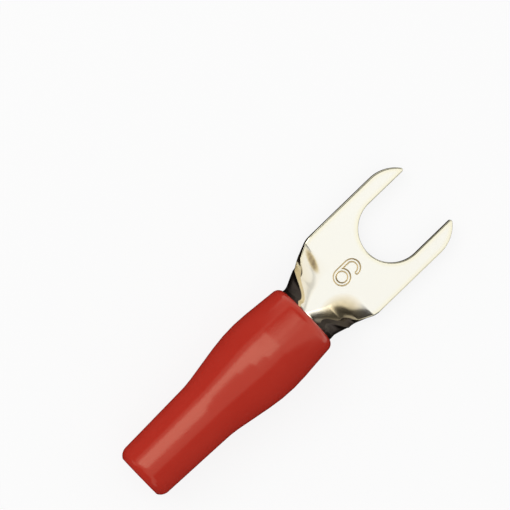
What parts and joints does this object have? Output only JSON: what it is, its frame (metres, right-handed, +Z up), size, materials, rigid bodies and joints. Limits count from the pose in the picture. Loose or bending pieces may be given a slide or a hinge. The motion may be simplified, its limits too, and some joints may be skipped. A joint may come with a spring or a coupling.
{
  "type": "fork terminal",
  "caption": "Crimp fork terminal: flat gold-plated fork with an open stud slot, a neck that curls into a rolled wire barrel, and a soft red vinyl sleeve over the barrel.",
  "frame": {"origin": "on the table under the middle of the part's length", "axes": "+X along the barrel's axis towards the tine tips, +Z up, the blade level and its open curl upwards"},
  "size_m": [0.0378, 0.0098, 0.0082],
  "materials": {
    "gold_plate": "polished gold plate on brass sheet",
    "red_vinyl": "soft semi-gloss vinyl"
  },
  "bodies": {
    "root": {"metal_fork": "gold_plate", "vinyl_sleeve": "red_vinyl"}
  },
  "joints": []
}
